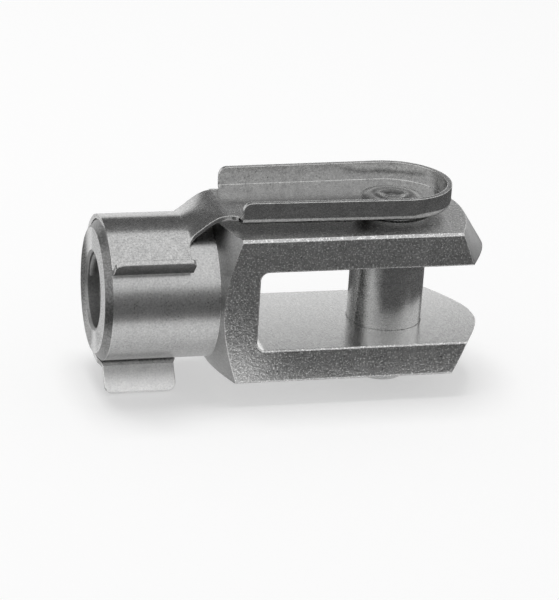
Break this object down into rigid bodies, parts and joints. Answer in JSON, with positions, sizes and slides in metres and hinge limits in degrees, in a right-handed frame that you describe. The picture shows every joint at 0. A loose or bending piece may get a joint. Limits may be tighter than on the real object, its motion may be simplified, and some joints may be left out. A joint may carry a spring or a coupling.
{
  "type": "clevis rod end with spring clip",
  "caption": "Forked rod end turned from square bar, with a cross pin riveted to a folded spring clip that snaps round the threaded neck.",
  "frame": {"origin": "where the cross pin's axis meets the shank's axis, in the middle of the slot", "axes": "+X out of the open end of the fork, away from the rod; +Z along the pin towards the clip's lever; -Y to the side where the clip's band is open"},
  "size_m": [0.042, 0.0173, 0.022],
  "materials": {
    "fork_steel": "turned and milled, zinc plated",
    "pin_steel": "turned, zinc plated",
    "spring_steel": "bright rolled spring steel"
  },
  "bodies": {
    "fork": {"fork": "fork_steel"},
    "clip": {"spring_clip": "spring_steel", "pin": "pin_steel"}
  },
  "joints": [
    {"name": "clip_swing", "type": "hinge", "parent": "fork", "child": "clip", "pos_m": [0, 0, 0], "axis": [0, 0, -1], "range_deg": [0, 320], "deforming": ["spring_clip"]}
  ]
}
